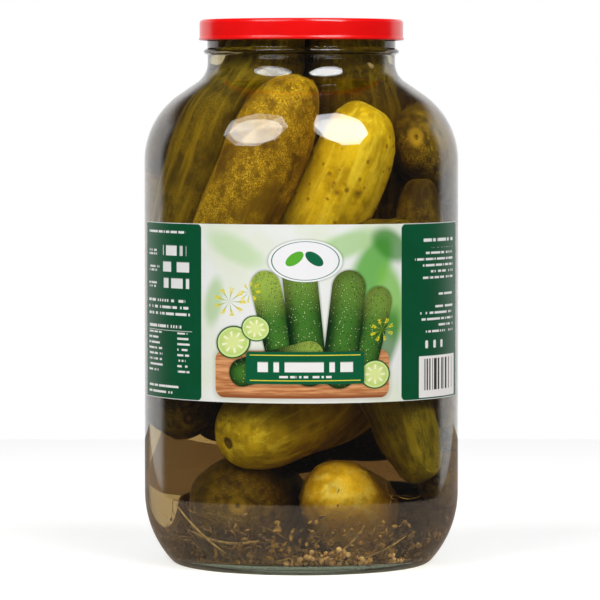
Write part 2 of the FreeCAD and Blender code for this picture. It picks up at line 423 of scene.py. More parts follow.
def gherkin_skin(name, deep, middle, light, speck, streaks, grain, spots):
    """Cured cucumber skin. Deep and light streaks run along it over a mottled middle colour, a net of fine
    pale squiggles lies in patches, the warts have brown tops, a dark ring and a pale core mark the stem end,
    and a pale scar marks the tip."""
    finish = Finish(name)
    at = finish.add("ShaderNodeAttribute", {"attribute_name": "skin_at"}, {}, output="Vector")
    along = finish.add("ShaderNodeAttribute", {"attribute_name": "along"}, {}, output="Fac")
    off_axis = finish.add("ShaderNodeAttribute", {"attribute_name": "off_axis"}, {}, output="Fac")
    wart = finish.add("ShaderNodeAttribute", {"attribute_name": "wart"}, {}, output="Fac")
    cloud = finish.noise(at, 48.0, 3.0, 0.6)
    patch = finish.noise(at, 170.0, 3.0, 0.6)
    streak = finish.noise(finish.stretched(at, (210, 210, 18)), 1.0, 3.0, 0.6)
    thread = finish.noise(finish.stretched(at, (800, 800, 90)), 1.0, 2.0, 0.6)
    weave = finish.noise(at, 950.0, 2.0, 0.5)
    grit = finish.noise(at, 2300.0, 2.0, 0.6)
    colour = finish.paint((cloud * 0.55 + patch * 0.45).rise(0.38, 0.60), deep, middle)
    colour = finish.paint(streak.rise(0.46, 0.66) * streaks, colour, light)
    colour = finish.paint(thread.rise(0.52, 0.72) * (streaks * 0.5), colour, deep)
    squiggle = (weave - 0.5).size().rise(0.045, 0.012)
    dots = grit.rise(0.56, 0.68)
    net = squiggle.most(dots * 0.8) * cloud.rise(0.36, 0.56) * patch.rise(0.34, 0.54)
    colour = finish.paint(net * grain, colour, speck)
    colour = finish.paint(wart.rise(0.45, 0.95) * spots, colour, (0.30, 0.17, 0.008))
    stem_side = along.rise(0.5, 0.4)
    tip_side = along.rise(0.5, 0.6)
    ring = off_axis.rise(0.0038, 0.0026) * stem_side
    core = off_axis.rise(0.0018, 0.0008) * stem_side
    colour = finish.paint(ring * 0.85, colour, (0.040, 0.018, 0.004))
    colour = finish.paint(core * 0.6, colour, (0.16, 0.08, 0.015))
    rays = (off_axis + patch * 0.004).rise(0.0075, 0.0045)
    scar = rays * off_axis.rise(0.0008, 0.0018) * tip_side
    colour = finish.paint(scar * 0.5, colour, speck)
    height = patch * 0.45 + thread * 0.15 + squiggle * 0.25 + grit * 0.15
    shine = finish.add("ShaderNodeBsdfPrincipled", {}, {
        "Base Color": colour, "Roughness": cloud * 0.16 + 0.34, "IOR": 1.12,
        "Normal": finish.bump(height, 0.0011, 0.8)})
    return finish.close(shine)


gold = gherkin_skin("skin_gold", (0.105, 0.050, 0.001), (0.190, 0.098, 0.001), (0.28, 0.155, 0.003),
                    (0.66, 0.41, 0.015), 0.35, 0.95, 0.25)
lime = gherkin_skin("skin_lime", (0.440, 0.285, 0.003), (0.750, 0.525, 0.008), (0.92, 0.74, 0.060),
                    (0.92, 0.74, 0.09), 0.45, 0.15, 1.0)
olive = gherkin_skin("skin_olive", (0.280, 0.170, 0.002), (0.520, 0.335, 0.005), (0.80, 0.58, 0.030),
                     (0.88, 0.68, 0.07), 0.65, 0.15, 0.3)
# Partly painted light: this skin's colours are raised above the gherkins' own dull green. This makes up for
# the shadow that front_left and the cap cast on left_tall and neck_right. Other gherkins wear this skin too.
leaf = gherkin_skin("skin_leaf_painted_light", (0.080, 0.053, 0.002), (0.155, 0.108, 0.003), (0.30, 0.21, 0.006),
                    (0.48, 0.31, 0.012), 0.75, 0.40, 0.3)
speckled = gherkin_skin("skin_speckled", (0.045, 0.024, 0.001), (0.095, 0.052, 0.001), (0.19, 0.11, 0.002),
                        (0.55, 0.34, 0.015), 0.35, 0.6, 0.3)
dusk = gherkin_skin("skin_dusk", (0.036, 0.019, 0.001), (0.075, 0.043, 0.002), (0.14, 0.083, 0.004),
                    (0.36, 0.22, 0.012), 0.6, 0.45, 0.3)
pale = gherkin_skin("skin_pale", (0.560, 0.330, 0.006), (0.860, 0.540, 0.022), (0.94, 0.74, 0.13),
                    (0.95, 0.80, 0.18), 0.6, 0.15, 0.4)

# name, stem end, tip, girth, bow, skin, bluntness, taper, warts: all in millimetres
PACKED = [
    ("front_left", (-57, -42, 130), (-2, -38, 247), 19.9, (4, -12, 2), gold, 2.7, 0.10, 90),
    ("front_right", (-18, -32, 120), (33, -36, 228), 19.2, (2, -7, 3), lime, 3.0, 0.10, 170),
    ("left_tall", (-58, -6, 140), (-7, -8, 267), 21.5, (-3, -6, 4), leaf, 2.8, 0.12, 40),
    ("left_wall", (-58, 14, 92), (-56, 22, 200), 15.5, (-2, 0, 0), leaf, 2.8, 0.10, 40),
    ("right_end", (36, 58, 190), (53.5, -39, 217), 18.0, (8, 0, 0), speckled, 3.2, 0.05, 70),
    ("right_wall", (52, -20, 90), (54, -32, 198), 15.0, (1, -2, 0), dusk, 2.8, 0.08, 30),
    ("behind_label", (6, -50, 160), (62, -32, 161), 17.5, (0, 0, 0), leaf, 2.8, 0.10, 30),
    ("neck_right", (16, 16, 150), (21, -6, 267), 21.0, (0, 0, 0), leaf, 2.9, 0.10, 80),
    ("neck_back", (-2, 44, 120), (0, 26, 266), 19.0, (0, 8, 0), dusk, 2.9, 0.10, 60),
    ("right_back", (46, 22, 112), (32, 28, 240), 18.5, (4, 4, 0), dusk, 2.8, 0.10, 60),
    ("left_back", (-40, 34, 116), (-24, 32, 252), 18.5, (-6, 6, 0), dusk, 2.8, 0.10, 60),
    ("right_far", (24, 60, 70), (16, 58, 214), 16.5, (0, 2, 0), leaf, 2.8, 0.10, 40),
    ("left_far", (-24, 56, 82), (-26, 56, 200), 17.0, (-4, 4, 0), gold, 2.8, 0.10, 40),
    ("middle", (2, 2, 92), (0, -2, 215), 19.0, (0, 0, 0), dusk, 2.8, 0.10, 40),
    ("left_middle", (-26, 16, 63), (-34, -8, 150), 17.5, (0, 0, 0), dusk, 2.8, 0.10, 40),
    ("level_front", (-35, -58, 66), (32, 22, 97), 22.0, (2, -8, 0), olive, 2.9, -0.02, 40),
    ("low_right", (20, 45, 27), (15, -63, 43), 18.0, (0, 0, 0), pale, 3.0, 0.10, 30),
    ("low_left", (-10, 44, 32), (-30, -58, 35), 23.5, (-2, 0, 0), dusk, 3.0, 0.10, 40),
    ("left_end", (-52, -39, 77), (-38, 60, 92), 16.5, (-3, 0, 0), dusk, 2.9, 0.05, 40),
    ("low_back", (58, 6, 27), (-34, 60, 26), 14.5, (6, 8, 0), dusk, 2.8, 0.10, 40),
    ("back_low", (-18, 30, 67), (54, 30, 70), 17.0, (0, 14, 0), dusk, 2.8, 0.10, 40),
    ("right_low", (62, -10, 66), (30, 52, 78), 15.0, (6, 4, 0), leaf, 2.8, 0.10, 40),
    ("mid_low", (-24, 36, 60), (10, 44, 60), 16.0, (0, 0, 0), dusk, 2.8, 0.10, 40),
    ("right_floor", (61, -24, 45), (52, 42, 42), 15.0, (2, 0, 0), dusk, 2.8, 0.10, 40),
    ("right_lean", (28, -44, 122), (60, -34, 46), 17.0, (0, 2, 0), leaf, 2.9, 0.05, 50),
]
CLOSE_TO_THE_GLASS = ("front_left", "front_right", "left_tall", "right_end", "right_wall", "neck_right",
                      "level_front", "low_right", "low_left", "right_lean")
for count, (word, stem, tip, girth, bow, finish, blunt, taper, warts) in enumerate(PACKED):
    gherkin("gherkin_" + word, stem, tip, girth, bow, finish, 40 + count, blunt, taper, warts,
            word in CLOSE_TO_THE_GLASS)

# ---------------------------------------------------------------- spices
# Mustard seeds, a peppercorn, dill threads, husks and a cut dill stalk have sunk to the floor of the jar.
# They lie loose on the glass and between the lowest gherkins, and are thickest at the front.

def scattered(name, places, reach, material, seed, rings=5, around=8, rough=0.0):
    """Many small round bodies in one mesh: each is a unit sphere on a grid of rings, times its own three
    reaches, times one plus a random roughness, turned about a random axis and put at its place."""
    draw = np.random.default_rng(seed)
    count = len(places)
    tilt = np.linspace(0, math.pi, rings + 2)[1:-1]
    turn = np.linspace(0, 2 * math.pi, around, endpoint=False)
    unit = np.stack([np.outer(np.sin(tilt), np.cos(turn)), np.outer(np.sin(tilt), np.sin(turn)),
                     np.outer(np.cos(tilt), np.ones(around))], axis=-1).reshape(-1, 3)
    unit = np.vstack([unit, [(0, 0, 1)], [(0, 0, -1)]])
    body = unit[None] * reach[:, None] * (1 + rough * draw.uniform(-1, 1, (count, len(unit), 1)))
    frames = np.linalg.qr(draw.normal(size=(count, 3, 3)))[0]
    frames[:, :, 0] *= np.sign(np.linalg.det(frames))[:, None]
    points = np.einsum("nij,nkj->nki", frames, body) + places[:, None]
    index = np.arange(rings * around).reshape(rings, around)
    ahead = np.roll(index, -1, axis=1)
    quads = np.stack([index[:-1], index[1:], ahead[1:], ahead[:-1]], axis=-1).reshape(-1, 4)
    top = np.column_stack([index[0], ahead[0], np.full(around, rings * around)])
    low = np.column_stack([ahead[-1], index[-1], np.full(around, rings * around + 1)])
    step = (np.arange(count) * len(unit))[:, None, None]
    faces = (quads[None] + step).reshape(-1, 4).tolist()
    faces += (np.vstack([top, low])[None] + step).reshape(-1, 3).tolist()
    return loose_mesh(name, points.reshape(-1, 3), faces, material)


def threads(name, starts, ends, sag, girth, material, steps=9, sides=4):
    """Many thin stalks in one mesh: each follows a parabola from start to end whose middle is moved by its
    sag, with a square section that narrows to both ends, which are closed."""
    way = np.linspace(0, 1, steps)[None, :, None]
    spine = starts[:, None] * (1 - way) + ends[:, None] * way + 4 * way * (1 - way) * sag[:, None]
    spine = kept_inside(spine, 0.0009)
    ahead = np.gradient(spine, axis=1)
    ahead /= np.linalg.norm(ahead, axis=-1, keepdims=True)
    side = np.cross(ahead, (0.2, 0.3, 0.93))
    side /= np.linalg.norm(side, axis=-1, keepdims=True)
    up = np.cross(side, ahead)
    turn = np.linspace(0, 2 * math.pi, sides, endpoint=False)
    width = girth[:, None, None] * (0.35 + 0.65 * np.sin(math.pi * way) ** 0.5)
    points = spine[:, :, None] + width[..., None] * (
        side[:, :, None] * np.cos(turn)[:, None] + up[:, :, None] * np.sin(turn)[:, None])
    index = np.arange(steps * sides).reshape(steps, sides)
    ahead_at = np.roll(index, -1, axis=1)
    quads = np.stack([index[:-1], ahead_at[:-1], ahead_at[1:], index[1:]], axis=-1).reshape(-1, 4)
    caps = np.vstack([index[0][::-1], index[-1]])
    step = (np.arange(len(starts)) * steps * sides)[:, None, None]
    faces = (quads[None] + step).reshape(-1, 4).tolist()
    faces += (caps[None] + step).reshape(-1, sides).tolist()
    return loose_mesh(name, points.reshape(-1, 3), faces, material)


def loose_mesh(name, points, faces, material):
    """A mesh of many loose bodies, from their points and faces."""
    mesh = bpy.data.meshes.new(name)
    mesh.from_pydata(points.tolist(), [], faces)
    mesh.shade_smooth()
    mesh.update()
    piece = bpy.data.objects.new(name, mesh)
    bpy.context.scene.collection.objects.link(piece)
    return dress(piece, material, "spice")


def spice_finish(name, dark, light, scale):
    """Wet plant matter: two tones in soft patches with a fine grain."""
    finish = Finish(name)
    at = finish.add("ShaderNodeTexCoord", {}, {}, output="Object")
    tone = finish.noise(at, scale, 2.0, 0.6)
    grain = finish.noise(at, 2500.0, 2.0, 0.6)
    return finish.close(finish.add("ShaderNodeBsdfPrincipled", {}, {
        "Base Color": finish.paint((tone * 0.7 + grain * 0.3).rise(0.38, 0.62), dark, light),
        "Roughness": grain * 0.2 + 0.4, "IOR": 1.15, "Normal": finish.bump(grain, 0.0003, 0.5)}))


dice = np.random.default_rng(7)
heaped, loose = 46, 34
seed_turn = np.radians(np.concatenate([dice.normal(16, 9, heaped), dice.uniform(-10, 52, loose)]))
seed_out = np.concatenate([dice.uniform(0.055, 0.0655, heaped), dice.uniform(0.058, 0.066, loose)])
heap_middle, heap_half = 0.28, 0.7
heap = 1 - np.abs(seed_turn[:heaped] - heap_middle) / heap_half
seed_lift = np.concatenate([dice.uniform(0, 0.0052, heaped) * heap, np.zeros(loose)])
seed_size = dice.uniform(0.00115, 0.00150, heaped + loose)
seed_at = np.stack([seed_out * np.sin(seed_turn), -seed_out * np.cos(seed_turn),
                    floor_height(seed_out) + seed_size + np.maximum(seed_lift, 0)], axis=-1)
seed_at = kept_inside(seed_at, 0.0014)
scattered("mustard_seeds", seed_at, seed_size[:, None] * (1, 1, 0.92), spice_finish(
    "mustard_seed", (0.58, 0.32, 0.08), (0.92, 0.60, 0.25), 420.0), 11, 6, 9)
scattered("peppercorn", kept_inside(np.array([(-0.024, -0.055, 0.0115), (0.037, -0.030, 0.254)]), 0.0022),
          np.array([(0.0021, 0.0021, 0.0020), (0.0026, 0.0019, 0.0016)]), spice_finish(
    "pepper", (0.14, 0.085, 0.030), (0.40, 0.27, 0.10), 500.0), 12, 12, 18, 0.03)

husk_count = 420
husk_turn = dice.uniform(-2.4, 2.4, husk_count)
husk_turn = np.where(dice.uniform(0, 1, husk_count) < 0.55, dice.normal(0.15, 0.45, husk_count), husk_turn)
husk_out = 0.074 * dice.uniform(0.45, 1.0, husk_count) ** 0.5
husk_at = np.stack([husk_out * np.sin(husk_turn), -husk_out * np.cos(husk_turn),
                    floor_height(husk_out) + dice.gamma(1.5, 0.0026, husk_count)], axis=-1)
husk_reach = dice.uniform(0.0006, 0.0024, (husk_count, 3)) * (1, 0.8, 0.35)
scattered("husks", kept_inside(husk_at, 0.0016), husk_reach, spice_finish(
    "husk", (0.060, 0.028, 0.003), (0.34, 0.18, 0.03), 260.0), 13, 4, 7, 0.35)

thread_count = 220
thread_turn = np.where(dice.uniform(0, 1, thread_count) < 0.5, dice.uniform(-1.6, 1.6, thread_count),
                       dice.choice([-1.0, 0.55, 0.1, -0.45], thread_count)
                       + dice.normal(0, 0.16, thread_count))
thread_out = 0.0755 * dice.uniform(0.5, 1.0, thread_count) ** 0.5
thread_low = np.where(dice.uniform(0, 1, thread_count) < 0.85, dice.gamma(1.4, 0.003, thread_count),
                      dice.uniform(0.002, 0.009, thread_count))
thread_start = np.stack([thread_out * np.sin(thread_turn), -thread_out * np.cos(thread_turn),
                         floor_height(thread_out) + thread_low], axis=-1)
thread_way = dice.normal(size=(thread_count, 3)) * (1, 1, 0.55)
thread_way /= np.linalg.norm(thread_way, axis=1, keepdims=True)
thread_long = dice.uniform(0.004, 0.019, thread_count)[:, None]
threads("dill_threads", kept_inside(thread_start, 0.001), thread_start + thread_way * thread_long,
        dice.normal(size=(thread_count, 3)) * 0.0018,
        dice.uniform(0.00013, 0.00030, thread_count), spice_finish(
            "dill", (0.050, 0.024, 0.003), (0.26, 0.145, 0.020), 150.0))
stalk_start = np.array([(-0.013, -0.0585, 0.009), (-0.060, -0.040, 0.034), (0.050, -0.046, 0.020),
                        (-0.052, -0.042, 0.022), (0.030, -0.062, 0.026)])
stalk_end = np.array([(0.006, -0.0605, 0.0095), (-0.036, -0.055, 0.012), (0.030, -0.058, 0.010),
                      (-0.020, -0.062, 0.019), (0.016, -0.063, 0.012)])
threads("dill_stalks", stalk_start, stalk_end, np.array([(0, 0, 0.0005), (0, -0.003, -0.002), (0, 0, -0.001),
                                                         (0, 0, -0.003), (0.002, 0, 0)]),
        np.array([0.0016, 0.0006, 0.0005, 0.0007, 0.0004]), spice_finish(
            "stalk", (0.22, 0.13, 0.030), (0.46, 0.31, 0.10), 200.0), 14, 10)


# ---------------------------------------------------------------- brine
# Vinegar brine, clear and olive-brown where it is deep. It wets the glass all round, so the piece reaches
# just into the wall, and its top is flat with a small rise where it meets the neck.

brine_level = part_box("brine")[1].z
reach = 0.0004
fill = inner_wall(jar_wall - reach)
fill = fill[fill[:, 1] < brine_level - 0.0002]
edge_r = np.interp(brine_level, inner_wall(jar_wall - reach)[24:, 1], inner_wall(jar_wall - reach)[24:, 0])
surface_r = np.linspace(edge_r, 0.0, 24)
surface = np.column_stack([surface_r, brine_level - 0.0016 * (1 - np.exp(-(edge_r - surface_r) / 0.0018))])
brine = lathe("brine", np.vstack([fill, surface]))
dress(brine, clear_finish("brine", (0.99, 0.985, 0.96), 1.34, (0.99, 0.985, 0.965),
                          (0.65, 0.45, 0.02), 18.5), "brine", "brine")

# ---------------------------------------------------------------- cap
# A twist-off cap pressed from tinplate 0.35 mm thick and lacquered red: a stepped panel, a short skirt and
# a curled edge that turns in under the ramps of the glass. Its inside has a dull gold lacquer.

cap_low, cap_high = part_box("lid")
cap_wall, cap_corner, curl = 0.00035, 0.0020, 0.0009
cap_radius = cap_high.x - 0.4 * curl
cap_top = cap_high.z
panel_radius, panel_step, panel_drop = 0.043, 0.002, 0.0008


def cap_line(inset):
    """The cap's line from the middle of its panel to its curled edge, inset from the outside."""
    step = np.linspace(0, 1, 9)
    ramp = step * step * (3 - 2 * step)
    lip = np.column_stack([panel_radius + panel_step * step, cap_top - inset - panel_drop * (1 - ramp)])
    corner = arc((cap_radius - cap_corner, cap_top - cap_corner), cap_corner - inset, 90, 0, 10)
    return np.vstack([[(0.0, cap_top - inset - panel_drop)],
                      [(panel_radius * 0.98, cap_top - inset - panel_drop)], lip, corner])


curl_middle = (cap_radius - 0.5 * curl, cap_low.z + curl)
shell = np.vstack([
    cap_line(0.0),
    [(cap_radius, cap_low.z + 2.6 * curl)],
    arc(curl_middle, 0.9 * curl, 60, -180, 16),
    [(cap_radius - cap_wall, cap_low.z + 2.2 * curl)],
    cap_line(cap_wall)[::-1],
])
lid = lathe("lid", shell)
curl_rows = 12
red_rows = len(cap_line(0.0)) + curl_rows
row_of_face = np.repeat(np.arange(len(shell) - 3), facets)
inside_faces = np.zeros(len(lid.data.polygons), dtype=np.int32)
inside_faces[:len(row_of_face)] = row_of_face > red_rows
inside_faces[-facets:] = 1
lid.data.polygons.foreach_set("material_index", inside_faces)
red = Finish("red_lacquer")
at = red.add("ShaderNodeTexCoord", {}, {}, output="Object")
orange_peel = red.noise(at, 900.0, 2.0, 0.5)
cast = red.noise(at, 60.0, 3.0, 0.6)
dress(lid, red.close(red.add("ShaderNodeBsdfPrincipled", {}, {
    "Base Color": red.paint(cast.rise(0.3, 0.7), (0.82, 0.0010, 0.0010), (0.88, 0.0015, 0.0015)),
    "Roughness": cast * 0.10 + 0.16, "IOR": 1.5,
    "Normal": red.bump(orange_peel, 0.00002, 0.4)})), "red_lacquer", "lid")
tin = Finish("inner_lacquer")
tin_at = tin.add("ShaderNodeTexCoord", {}, {}, output="Object")
tin_cast = tin.noise(tin_at, 140.0, 3.0, 0.6)
lid.data.materials.append(tin.close(tin.add("ShaderNodeBsdfPrincipled", {}, {
    "Base Color": tin.paint(tin_cast.rise(0.3, 0.7), (0.19, 0.145, 0.055), (0.25, 0.19, 0.08)),
    "Roughness": tin_cast * 0.2 + 0.35, "IOR": 1.4})))

# ---------------------------------------------------------------- label
# One sheet of coated paper 0.12 mm thick, printed on its outer face and glued round the front of the body.
# Its middle shows cut and whole cucumbers over a board, and its green ends carry rows of plain bars.

label_low, label_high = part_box("label")
label_span = math.radians(153.0)
label_tall = (label_high.z - label_low.z) * 1000
paper = 0.00012
glue = 0.00002
half_sheet = (body_radius + glue + paper) * label_span / 2 * 1000
half_picture = half_sheet / 2


def label_sheet(name):
    """A sheet that follows the glass: at angle a from the front and height z its point is (R sin a,
    -R cos a, z), with R a little more on its outer face than on its inner one. The attribute print_at holds
    millimetres round from the middle and up from the lower edge, and 1 on the outer face only."""
    middle = label_span / 4
    turns = np.concatenate([np.linspace(-label_span / 2, -middle, 66), np.linspace(-middle, middle, 131)[1:],
                            np.linspace(middle, label_span / 2, 66)[1:]])
    rise = np.linspace(label_low.z, label_high.z, 12)
    spread, height = np.meshgrid(turns, rise, indexing="ij")
    inner, outer = (
        np.stack([radius * np.sin(spread), -radius * np.cos(spread), height], axis=-1)
        for radius in (body_radius + glue, body_radius + glue + paper))
    loop = np.concatenate([outer, inner[:, ::-1]], axis=1)
    rows, columns = loop.shape[:2]
    index = np.arange(rows * columns).reshape(rows, columns)
    quads = np.stack([index[:-1], index[1:], np.roll(index[1:], -1, axis=1),
                      np.roll(index[:-1], -1, axis=1)], axis=-1).reshape(-1, 4)
    half = columns // 2
    ends = []
    for row, flip in ((index[0], False), (index[-1], True)):
        strip = np.column_stack([row[:half - 1], row[1:half], row[::-1][1:half], row[::-1][:half - 1]])
        ends.append(strip[:, ::-1] if flip else strip)
    faces = np.vstack([quads] + ends)
    mesh = bpy.data.meshes.new(name)
    mesh.from_pydata(loop.reshape(-1, 3).tolist(), [], faces.tolist())
    place = np.stack([spread * (body_radius + glue + paper) * 1000, (height - label_low.z) * 1000,
                      np.ones_like(height)], axis=-1)
    place = np.concatenate([place, (place * (1, 1, 0))[:, ::-1]], axis=1)
    columns_at = np.repeat((turns[1:] + turns[:-1]) / 2, columns)
    around = np.tile(np.arange(columns), len(turns) - 1)
    sort = np.where(around < half - 1, np.where(np.abs(columns_at) < middle, 0, 1), 2)
    sort = np.concatenate([sort, np.full(len(faces) - len(sort), 2)])
    mesh.polygons.foreach_set("material_index", sort.astype(np.int32))
    layer = mesh.attributes.new("print_at", "FLOAT_VECTOR", "POINT")
    layer.data.foreach_set("vector", np.ascontiguousarray(place, dtype=np.float32).ravel())
    mesh.update()
    piece = bpy.data.objects.new(name, mesh)
    bpy.context.scene.collection.objects.link(piece)
    return piece


class Ink(Finish):
    """Print on the outer face: u and v are millimetres round from the middle and up from the lower edge."""

    def __init__(self, name):
        super().__init__(name)
        self.at = self.add("ShaderNodeAttribute", {"attribute_name": "print_at"}, {}, output="Vector")
        self.u = self.add("ShaderNodeSeparateXYZ", {}, {0: self.at}, output="X")
        self.v = self.add("ShaderNodeSeparateXYZ", {}, {0: self.at}, output="Y")

    def plate(self, left, right, low, high, corner):
        """The distance from an upright box with round corners, in millimetres and negative inside."""
        beside = (self.u - (left + right) / 2).size() - ((right - left) / 2 - corner)
        above = (self.v - (low + high) / 2).size() - ((high - low) / 2 - corner)
        return (beside.most(0) * beside.most(0) + above.most(0) * above.most(0)) ** 0.5 - corner

    def oval(self, middle, reach, lean=0.0):
        """How far out a point lies in an ellipse that leans by an angle in degrees, 0 at its middle and 1 at
        its edge, and the point's two places along its axes as shares of its reach."""
        turn = math.radians(lean)
        right, up = self.u - middle[0], self.v - middle[1]
        along = (right * math.cos(turn) + up * math.sin(turn)) / reach[0]
        across = (up * math.cos(turn) - right * math.sin(turn)) / reach[1]
        return (along * along + across * across) ** 0.5, along, across

    def cucumber(self, colour, start, end, girth, ripe):
        """A whole cucumber: a capsule from start to end whose colour goes from deep green at its sides to a
        lighter green on its back, paler towards its end, with small light knobs."""
        length = math.dist(start, end)
        ahead = ((end[0] - start[0]) / length, (end[1] - start[1]) / length)
        along = (self.u - start[0]) * ahead[0] + (self.v - start[1]) * ahead[1]
        across = ((self.v - start[1]) * ahead[0] - (self.u - start[0]) * ahead[1]) / girth
        beyond = along - along.most(0).least(length)
        distance = (beyond * beyond + across * across * girth * girth) ** 0.5 - girth
        back = (1 - across * across - (beyond / girth) * (beyond / girth)).most(0)
        skin = self.paint((across - 0.30).rise(0.75, 0.0) * back, (0.001, 0.018, 0.004), (0.05, 0.18, 0.02))
        skin = self.paint(along.rise(length * 0.5, length * 1.05) * ripe, skin, (0.40, 0.55, 0.08))
        knobs = self.add("ShaderNodeTexVoronoi", {"feature": "F1"}, {"Vector": self.at, "Scale": 0.62})
        skin = self.paint(knobs.rise(0.46, 0.30) * knobs.rise(0.18, 0.30) * 0.6, skin, (0.001, 0.014, 0.004))
        skin = self.paint(knobs.rise(0.30, 0.12) * back * 0.85, skin, (0.42, 0.62, 0.22))
        colour = self.paint(distance.rise(1.3, -0.3) * 0.5, colour, (0.004, 0.03, 0.008))
        return self.paint(distance.inside(), colour, skin)

    def slice_of(self, colour, middle, size, lean=0.0, squeeze=0.85):
        """A cut slice: a dark rind, a pale rim, and watery flesh with seeds at eight equal angles."""
        ratio, along, across = self.oval(middle, (size, size * squeeze), lean)
        petals = (self.add("ShaderNodeMath", {"operation": "ARCTAN2"}, {0: across, 1: along}) * 8).wave()
        flesh = self.paint(ratio.rise(0.25, 0.75), (0.70, 0.80, 0.32), (0.52, 0.68, 0.20))
        seeds = petals.rise(0.35, 0.75) * ratio.rise(0.30, 0.40) * ratio.rise(0.72, 0.60)
        flesh = self.paint(seeds, flesh, (0.88, 0.90, 0.60))
        flesh = self.paint(ratio.rise(0.76, 0.84), flesh, (0.60, 0.78, 0.30))
        flesh = self.paint(ratio.rise(0.90, 0.93), flesh, (0.008, 0.085, 0.014))
        colour = self.paint(ratio.rise(1.12, 0.96) * 0.45, colour, (0.02, 0.05, 0.01))
        return self.paint(ratio.rise(1.01, 0.985), colour, flesh)

    def umbel(self, colour, middle, size, rays, lean=0.0):
        """A head of dill: thin rays at equal angles, each ending in a cluster of yellow flowers."""
        ratio, along, across = self.oval(middle, (size, size * 0.8), lean)
        spokes = (self.add("ShaderNodeMath", {"operation": "ARCTAN2"}, {0: across, 1: along}) * rays).wave()
        grain = self.noise(self.at, 1.6, 2.0, 0.6)
        stalk = spokes.rise(0.80, 0.97) * ratio.rise(0.80, 0.70)
        heads = spokes.rise(0.0, 0.6) * ratio.rise(0.55, 0.66) * ratio.rise(1.04, 0.94)
        colour = self.paint(stalk, colour, (0.30, 0.42, 0.03))
        return self.paint(heads * grain.rise(0.40, 0.52), colour, (0.78, 0.66, 0.02))

    def leaf(self, colour, middle, reach, lean, tone, soft, share):
        """A leaf out of focus: an ellipse, drawn in along its length, whose edge fades."""
        ratio, along = self.oval(middle, reach, lean)[:2]
        return self.paint((ratio + along * along * 0.25).rise(1.0 + soft, 1.0 - soft) * share, colour, tone)

    def rows(self, colour, tone, low, high, pitch, tall, left, right, ragged, density, seed, flush="left"):
        """Lines of print as broken bars: each row holds runs of ink and gaps from a random number for each
        cell, and stops short of its limit by a random length."""
        line = ((self.v - low) / pitch).floor()
        within = (self.v - low) / pitch - line
        cell = (self.u * density).floor()
        dice = self.add("ShaderNodeTexWhiteNoise", {"noise_dimensions": "2D"}, {
            "Vector": self.add("ShaderNodeCombineXYZ", {}, {0: cell, 1: line + seed})})
        short = self.add("ShaderNodeTexWhiteNoise", {"noise_dimensions": "1D"}, {"W": line + seed})
        if flush == "left":
            span = (left - self.u).inside() * (self.u - (right - short * ragged)).inside()
        else:
            span = (left + short * ragged - self.u).inside() * (self.u - right).inside()
        band = (low - self.v).inside() * (self.v - high).inside()
        band = band * within.rise(tall / pitch + 0.05, tall / pitch - 0.05)
        return self.paint(span * band * dice.rise(0.26, 0.30), colour, tone)

    def printed(self, colour):
        """Satin paper with this print."""
        fibre = self.noise(self.at, 0.9, 3.0, 0.6)
        return self.close(self.add("ShaderNodeBsdfPrincipled", {}, {
            "Base Color": colour, "Roughness": fibre * 0.08 + 0.34, "IOR": 1.25,
            "Normal": self.bump(fibre, 0.00003, 0.5)}))


label = label_sheet("label")
art = Ink("label_picture")
haze = art.noise(art.at, 0.035, 2.0, 0.5)
picture = art.paint(haze.rise(0.38, 0.62), (0.80, 0.83, 0.82), (0.74, 0.80, 0.68))
for middle, reach, lean, tone, soft, share in (
        ((36, 66), (24, 9), 62, (0.10, 0.40, 0.04), 0.35, 0.9),
        ((47, 50), (22, 8), 100, (0.20, 0.52, 0.07), 0.35, 0.85),
        ((22, 78), (20, 6), 20, (0.34, 0.60, 0.20), 0.40, 0.75),
        ((47, 78), (14, 7), -30, (0.04, 0.24, 0.02), 0.35, 0.8),
        ((44, 30), (20, 7), 70, (0.03, 0.20, 0.02), 0.35, 0.8),
        ((-34, 76), (20, 6), 155, (0.45, 0.68, 0.32), 0.45, 0.6),
        ((-46, 50), (14, 5), 80, (0.30, 0.55, 0.18), 0.45, 0.6)):
    picture = art.leaf(picture, middle, reach, lean, tone, soft, share)
grain = art.noise(art.stretched(art.at, (0.06, 0.9, 1.0)), 1.0, 4.0, 0.6)
board = art.paint(grain.rise(0.35, 0.65), (0.42, 0.145, 0.045), (0.72, 0.36, 0.155))
board = art.paint(art.v.rise(6.0, 2.6), board, (0.26, 0.075, 0.022))
picture = art.paint(art.plate(-46, 47, 1.2, 27, 5).rise(2, -2) * 0.35, picture, (0.20, 0.16, 0.10))
picture = art.paint(art.plate(-45, 46, 2.4, 26, 5).inside(), picture, board)
for start, end, girth, ripe in (
        ((-9, 20), (-18, 58), 7.6, 0.75),
        ((31, 18), (40, 50), 7.6, 0.35),
        ((4, 17), (-1, 64), 8.6, 0.35),
        ((19, 16), (24, 57), 8.8, 0.20),
        ((-30, 15), (4, 24), 7.0, 0.60)):
    picture = art.cucumber(picture, start, end, girth, ripe)
for middle, size, lean in (((-35, 30), 9.5, 12), ((-23, 37), 7.5, -10), ((38, 14), 8.5, 0)):
    picture = art.slice_of(picture, middle, size, lean)
for middle, size, spokes, lean in (((-37, 50), 9.0, 9, 0), ((42, 36), 7.0, 8, 20), ((-26, 55), 6.0, 8, 40)):
    picture = art.umbel(picture, middle, size, spokes, lean)
badge = art.oval((2, 70.5), (18.5, 10.5))[0]
picture = art.paint(badge.rise(1.09, 0.99) * 0.4, picture, (0.06, 0.14, 0.06))
picture = art.paint(badge.rise(1.005, 0.99), picture, (0.86, 0.87, 0.90))
picture = art.paint(badge.rise(0.885, 0.90) * badge.rise(0.93, 0.915), picture, (0.01, 0.16, 0.09))
for middle, lean, tone in (((-3.4, 71.5), 35, (0.10, 0.42, 0.03)), ((6.4, 71.5), 145, (0.004, 0.13, 0.055))):
    picture = art.leaf(picture, middle, (6.2, 2.7), lean, tone, 0.03, 1.0)
ribbon = art.plate(-28, 32, 9.5, 25.5, 1.6)
